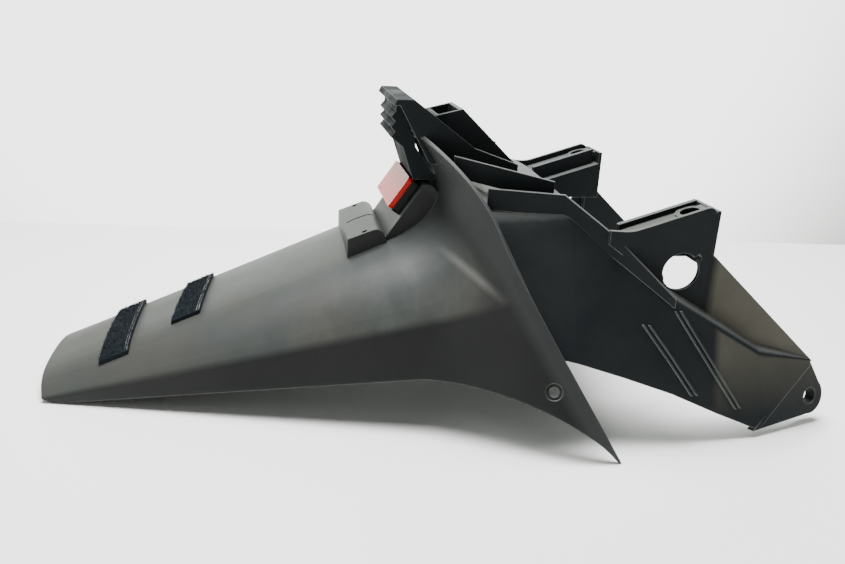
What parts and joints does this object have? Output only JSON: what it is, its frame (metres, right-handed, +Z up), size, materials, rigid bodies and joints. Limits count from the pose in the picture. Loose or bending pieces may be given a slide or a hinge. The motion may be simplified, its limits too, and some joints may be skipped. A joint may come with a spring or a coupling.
{
  "type": "motorcycle rear fender",
  "caption": "Rear fender with a long tapered flap, flared legs, a red reflector above a lamp pad and a ribbed inner fender with signal towers and front lugs.",
  "frame": {"origin": "bottom centre of the part's box, as it rests on the tail and the two leg tips", "axes": "+X forward from the flap's tail to the front lugs, +Z up, +Y to the side away from the picture's viewer"},
  "size_m": [0.5497, 0.342, 0.209],
  "materials": {
    "flap_plastic": "satin, weathered and scuffed",
    "inner_plastic": "satin black",
    "reflector_case": "moulded black",
    "red_lens": "gloss red",
    "zinc_steel": "zinc plated",
    "hook_tape": "woven tape with hooks"
  },
  "bodies": {
    "root": {"fender_flap": "flap_plastic", "inner_fender": "inner_plastic", "reflector_base": "reflector_case", "reflector_lens": "red_lens", "reflector_washer": "zinc_steel", "reflector_nut": "zinc_steel", "rear_hook_strip": "hook_tape", "front_hook_strip": "hook_tape"}
  },
  "joints": []
}
